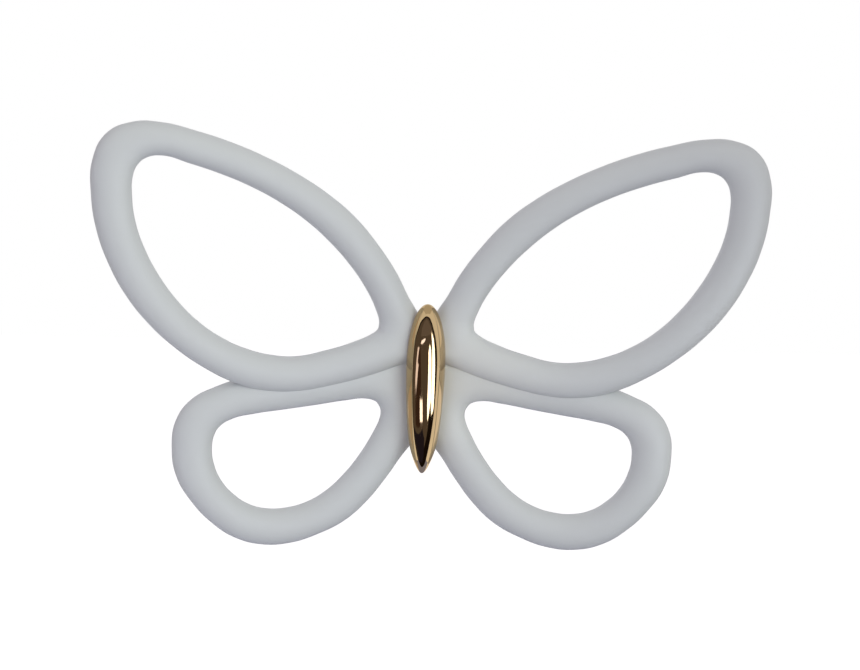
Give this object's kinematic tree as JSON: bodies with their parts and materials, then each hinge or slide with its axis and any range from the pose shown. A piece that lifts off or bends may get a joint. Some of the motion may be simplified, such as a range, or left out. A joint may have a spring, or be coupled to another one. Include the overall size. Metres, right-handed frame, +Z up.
{
  "type": "butterfly wall ornament",
  "caption": "Butterfly wall ornament with open, softly crowned white wing loops and a polished gold body, hung on a wall pin.",
  "frame": {"origin": "middle of the wall pin's socket, where it opens on the wall", "axes": "+X to the right as seen from the front, +Y into the wall, so that the front faces -Y, +Z up; the wall is the plane Y = 0"},
  "size_m": [0.1598, 0.0295, 0.1053],
  "materials": {
    "white_wings": "smooth satin, moulded in white",
    "gold_body": "mirror polished, pale gold",
    "saddle": "matt, moulded in white",
    "screws": "plain bright steel"
  },
  "bodies": {
    "root": {"left_forewing": "white_wings", "right_forewing": "white_wings", "left_hindwing": "white_wings", "right_hindwing": "white_wings", "body_shell": "gold_body", "saddle_plate": "saddle", "clamp_screws": "screws"}
  },
  "joints": []
}
